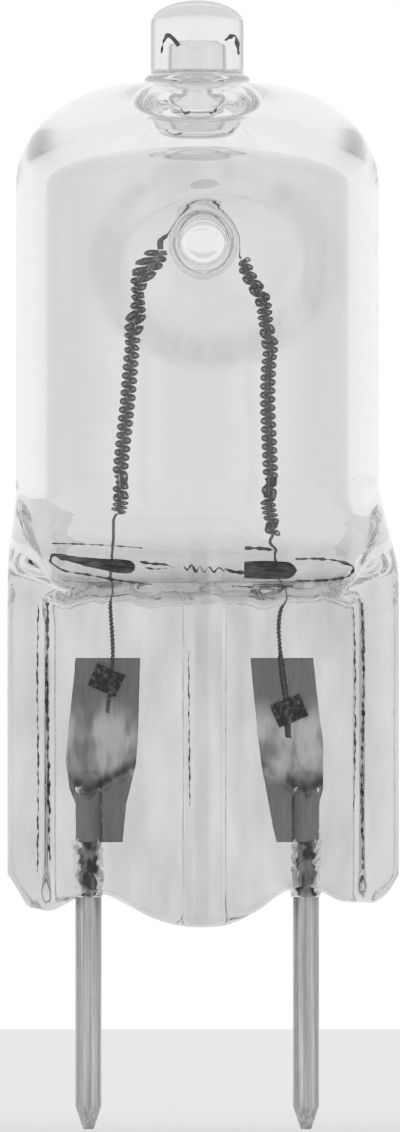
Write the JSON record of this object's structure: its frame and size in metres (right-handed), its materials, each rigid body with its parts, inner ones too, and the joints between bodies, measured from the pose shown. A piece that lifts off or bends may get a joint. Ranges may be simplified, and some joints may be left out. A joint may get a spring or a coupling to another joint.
{
  "type": "halogen capsule bulb",
  "caption": "Small clear halogen capsule bulb with a dimpled cylindrical envelope, coiled filament, flat press seal and straight contact pins.",
  "frame": {"origin": "midway between the two pins, in the plane where they leave the glass seal", "axes": "+Z along the bulb from the pins to the exhaust tip, +X from the left pin to the right pin, +Y through the seal away from the viewer"},
  "size_m": [0.0144, 0.0134, 0.0415],
  "materials": {
    "quartz": "clear fire-polished quartz, pressed flat at the seal",
    "tungsten": "dark drawn tungsten wire, coiled",
    "foil": "thin rolled molybdenum foil, satin with light streaks",
    "tab": "dark mottled weld tab",
    "pin": "drawn molybdenum wire with lengthwise streaks"
  },
  "bodies": {
    "root": {"envelope": "quartz", "filament": "tungsten", "foil_left": "foil", "foil_right": "foil", "weld_tab_left": "tab", "weld_tab_right": "tab", "pin_left": "pin", "pin_right": "pin"}
  },
  "joints": []
}
